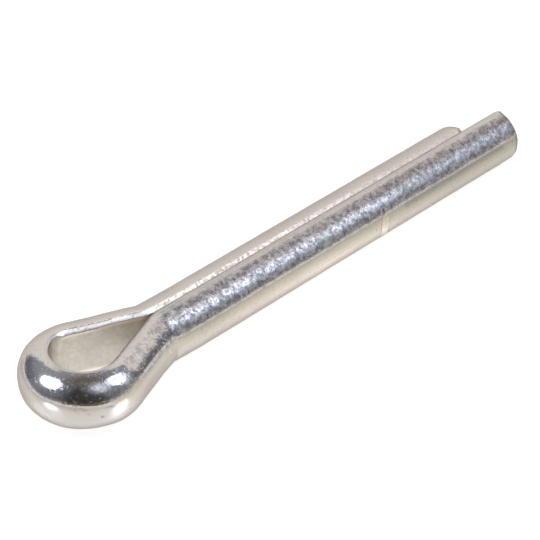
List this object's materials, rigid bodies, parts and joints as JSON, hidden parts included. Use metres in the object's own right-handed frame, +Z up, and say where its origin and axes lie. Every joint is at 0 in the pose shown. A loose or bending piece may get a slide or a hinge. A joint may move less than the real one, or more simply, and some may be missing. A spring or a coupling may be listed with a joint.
{
  "type": "cotter pin",
  "caption": "Split pin bent from half-round steel wire, with an open eye and two straight prongs of unequal length, to lock a nut, bolt or clevis pin through a cross hole.",
  "frame": {"origin": "on the shank's axis, in the plane where the eye's shoulders meet the rim of the hole, from which the nominal length is read", "axes": "+X along the shank towards the tips, +Z up through the eye's opening, long prong at -Y and short prong at +Y"},
  "size_m": [0.0462, 0.0092, 0.0044],
  "materials": {
    "zinc_plated_steel": "bright zinc plate over drawn steel wire, semi-gloss, finely mottled, with light press marks and scratches"
  },
  "bodies": {
    "root": {"cotter_pin": "zinc_plated_steel"}
  },
  "joints": []
}
